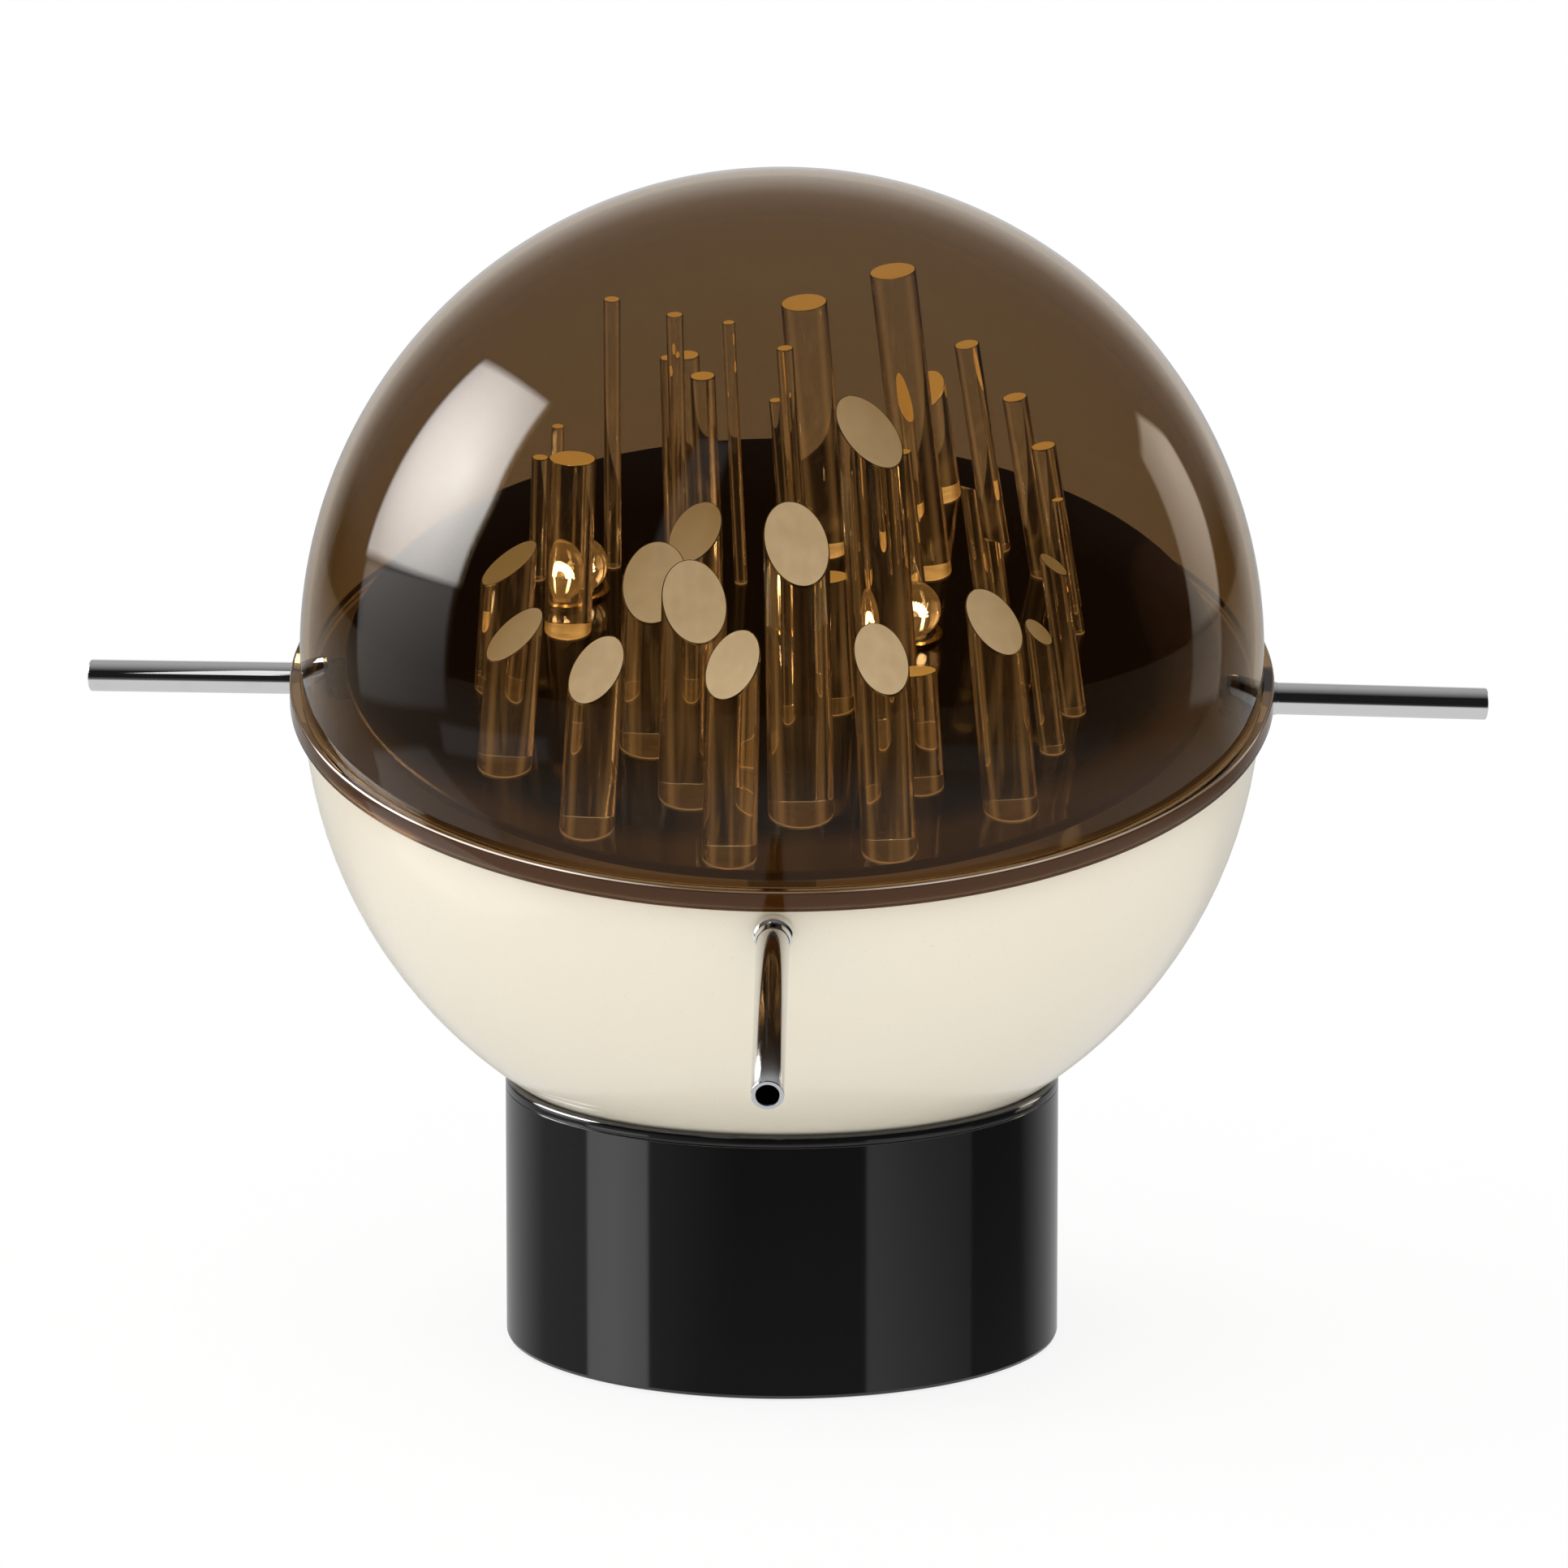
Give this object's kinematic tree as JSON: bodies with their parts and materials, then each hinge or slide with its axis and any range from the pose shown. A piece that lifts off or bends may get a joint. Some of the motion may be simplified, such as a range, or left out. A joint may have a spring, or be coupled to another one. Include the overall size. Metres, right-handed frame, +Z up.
{
  "type": "sculptural table lamp",
  "caption": "Globe table lamp: an ivory bowl and a smoked clear dome tilt on a black cylinder; leaning clear rods and small bulbs stand inside.",
  "frame": {"origin": "centre of the face on which the lamp rests", "axes": "+Z up, -Y towards the viewer of the picture, +X to the viewer's right"},
  "size_m": [0.6602, 0.5749, 0.5546],
  "materials": {
    "black_lacquer": "gloss",
    "black_rim": "gloss",
    "plain_steel": "satin",
    "felt": "matte",
    "rubber": "matte",
    "ivory": "gloss",
    "smoke_clear": "gloss",
    "dark_plate": "gloss",
    "clear_rod": "gloss",
    "chrome": "polished",
    "brass": "satin",
    "holder": "matte",
    "block_plastic": "matte",
    "lead_cover": "matte",
    "cap_metal": "polished",
    "bulb_glass": "gloss",
    "filament": "glowing"
  },
  "bodies": {
    "base": {"base_shell": "black_lacquer", "floor_plate": "plain_steel", "floor_screws": "plain_steel", "felt_pad": "felt", "cable_grommet": "rubber"},
    "seat": {"seat_ring": "black_rim"},
    "ball": {"bowl": "ivory", "plate_stem": "plain_steel", "stem_bolt": "brass", "plate_screws": "plain_steel", "rod_plate": "dark_plate", "tube_front": "chrome", "tube_left": "chrome", "tube_right": "chrome", "tube_collars": "chrome", "tube_washers": "plain_steel", "tube_nuts": "plain_steel", "lamp_holder_left": "holder", "lamp_holder_right": "holder", "holder_rings": "brass", "terminal_block": "block_plastic", "block_screws": "brass", "lamp_lead_left": "lead_cover", "lamp_lead_right": "lead_cover", "broad_rod_1": "clear_rod", "broad_rod_2": "clear_rod", "broad_rod_3": "clear_rod", "broad_rod_4": "clear_rod", "cut_rod_1": "clear_rod", "cut_rod_2": "clear_rod", "cut_rod_3": "clear_rod", "cut_rod_4": "clear_rod", "cut_rod_5": "clear_rod", "cut_rod_6": "clear_rod", "cut_rod_7": "clear_rod", "cut_rod_8": "clear_rod", "mid_rod_1": "clear_rod", "mid_rod_2": "clear_rod", "mid_rod_3": "clear_rod", "mid_rod_4": "clear_rod", "mid_rod_5": "clear_rod", "slim_rods": "clear_rod", "thin_rods": "clear_rod", "fine_rods": "clear_rod"},
    "bulb_left": {"bulb_cap_left": "cap_metal", "bulb_glass_left": "bulb_glass", "filament_left": "filament"},
    "bulb_right": {"bulb_cap_right": "cap_metal", "bulb_glass_right": "bulb_glass", "filament_right": "filament"},
    "dome": {"dome": "smoke_clear"}
  },
  "joints": [
    {"name": "seat_turn", "type": "hinge", "parent": "base", "child": "seat", "pos_m": [0, 0, 0.31156], "axis": [0, 0, 1], "range_deg": [-170, 170]},
    {"name": "ball_tilt", "type": "hinge", "parent": "seat", "child": "ball", "pos_m": [0, 0, 0.31156], "axis": [1, 0, 0], "range_deg": [-38, 6]},
    {"name": "dome_lift", "type": "slide", "parent": "ball", "child": "dome", "axis": [0, -0.2334, 0.9724], "range_m": [0, 0.25]},
    {"name": "bulb_left_out", "type": "slide", "parent": "ball", "child": "bulb_left", "axis": [0, -0.309, 0.9511], "range_m": [0, 0.035]},
    {"name": "bulb_right_out", "type": "slide", "parent": "ball", "child": "bulb_right", "axis": [0, -0.309, 0.9511], "range_m": [0, 0.035]}
  ]
}
